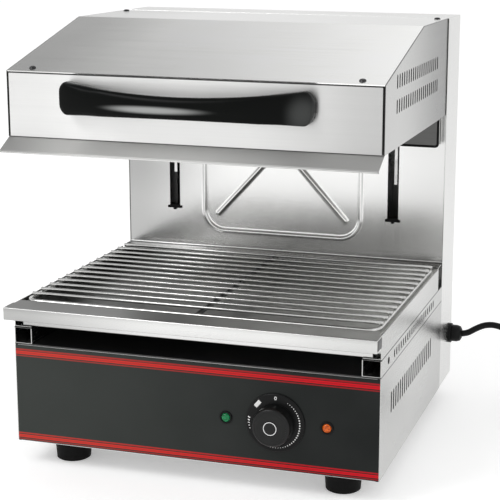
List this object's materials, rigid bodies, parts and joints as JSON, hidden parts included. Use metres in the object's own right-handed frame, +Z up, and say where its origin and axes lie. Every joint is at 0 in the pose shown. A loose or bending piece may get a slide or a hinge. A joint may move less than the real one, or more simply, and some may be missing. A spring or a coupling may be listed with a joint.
{
  "type": "counter-top lift-head salamander grill",
  "caption": "Counter-top salamander grill: a heated head slides up and down on a column over a lift-off wire grate and a pull-out drip tray, with a knob and two lamps.",
  "frame": {"origin": "middle of the footprint at the bottom of the feet, without the power lead", "axes": "+X to the right seen from the front, +Y to the back, +Z up"},
  "size_m": [0.6834, 0.4654, 0.5295],
  "materials": {
    "steel": "brushed, satin",
    "dark_steel": "mill finish, heat-darkened",
    "wire": "bright chrome-plated wire",
    "bright": "polished",
    "reflector": "bright rolled",
    "overlay": "charcoal with red stripes, satin",
    "black_plastic": "satin black moulding",
    "black_rubber": "matt black",
    "green_lens": "translucent green",
    "amber_lens": "translucent amber",
    "white_plastic": "moulded",
    "wool": "mineral wool",
    "brass": "bare"
  },
  "bodies": {
    "root": {"base_floor": "steel", "side_panel_left": "steel", "side_panel_right": "steel", "front_panel": "dark_steel", "control_overlay": "overlay", "deck_plate": "dark_steel", "rail_left": "steel", "rail_right": "steel", "skirt_left": "steel", "skirt_right": "steel", "rail_screws": "bright", "column_shell": "steel", "column_front": "steel", "back_cover": "steel", "back_screws": "bright", "lift_guides": "dark_steel", "slot_bumpers": "black_rubber", "lift_springs": "bright", "spring_bar": "dark_steel", "feet": "black_rubber", "foot_screws": "bright", "green_lamp": "green_lens", "amber_lamp": "amber_lens", "lamp_bezels": "black_plastic", "regulator_body": "white_plastic", "terminal_block": "white_plastic", "wiring": "black_rubber", "flex_conduit": "dark_steel", "gland_body": "black_plastic", "gland_nut": "black_plastic", "mains_lead": "black_rubber", "lead_coil": "black_rubber", "mains_plug": "black_rubber", "plug_pins": "brass"},
    "head": {"hood_top": "steel", "head_front": "steel", "head_side_left": "steel", "head_side_right": "steel", "head_lip": "steel", "head_apron": "steel", "apron_seal": "black_rubber", "reflector": "reflector", "insulation": "wool", "heating_tubes": "dark_steel", "tube_clamps": "dark_steel", "lift_handle": "black_plastic", "handle_screws": "bright", "hood_screws": "dark_steel", "lift_carriage": "dark_steel"},
    "knob": {"knob_grip": "black_plastic", "dial_skirt": "black_plastic", "knob_cap": "bright", "regulator_shaft": "bright"},
    "tray": {"drip_tray": "steel"},
    "grate": {"grate_frame": "wire", "grate_wires": "wire"},
    "roller_upper_left": {"roller_upper_left": "white_plastic"},
    "roller_upper_right": {"roller_upper_right": "white_plastic"},
    "roller_lower_left": {"roller_lower_left": "white_plastic"},
    "roller_lower_right": {"roller_lower_right": "white_plastic"}
  },
  "joints": [
    {"name": "head_lift", "type": "slide", "parent": "root", "child": "head", "axis": [0, 0, 1], "range_m": [-0.105, 0], "deforming": ["lift_springs", "flex_conduit"]},
    {"name": "knob_turn", "type": "hinge", "parent": "root", "child": "knob", "pos_m": [0.1025, -0.19505, 0.088], "axis": [0, 1, 0], "range_deg": [0, 270]},
    {"name": "tray_slide", "type": "slide", "parent": "root", "child": "tray", "axis": [0, -1, 0], "range_m": [0, 0.3]},
    {"name": "grate_lift", "type": "slide", "parent": "tray", "child": "grate", "axis": [0, 0, 1], "range_m": [0, 0.06]},
    {"name": "roller_upper_left_spin", "type": "hinge", "parent": "head", "child": "roller_upper_left", "pos_m": [-0.1635, 0.18575, 0.47], "axis": [1, 0, 0], "range_deg": [-602, 0]},
    {"name": "roller_upper_right_spin", "type": "hinge", "parent": "head", "child": "roller_upper_right", "pos_m": [0.1635, 0.18575, 0.47], "axis": [1, 0, 0], "range_deg": [-602, 0]},
    {"name": "roller_lower_left_spin", "type": "hinge", "parent": "head", "child": "roller_lower_left", "pos_m": [-0.1635, 0.18575, 0.33], "axis": [1, 0, 0], "range_deg": [0, 602]},
    {"name": "roller_lower_right_spin", "type": "hinge", "parent": "head", "child": "roller_lower_right", "pos_m": [0.1635, 0.18575, 0.33], "axis": [1, 0, 0], "range_deg": [0, 602]}
  ],
  "couplings": [
    {"joint": "roller_upper_left_spin", "follows": "head_lift", "rad_per_m": 100},
    {"joint": "roller_upper_right_spin", "follows": "head_lift", "rad_per_m": 100},
    {"joint": "roller_lower_left_spin", "follows": "head_lift", "rad_per_m": -100},
    {"joint": "roller_lower_right_spin", "follows": "head_lift", "rad_per_m": -100}
  ]
}
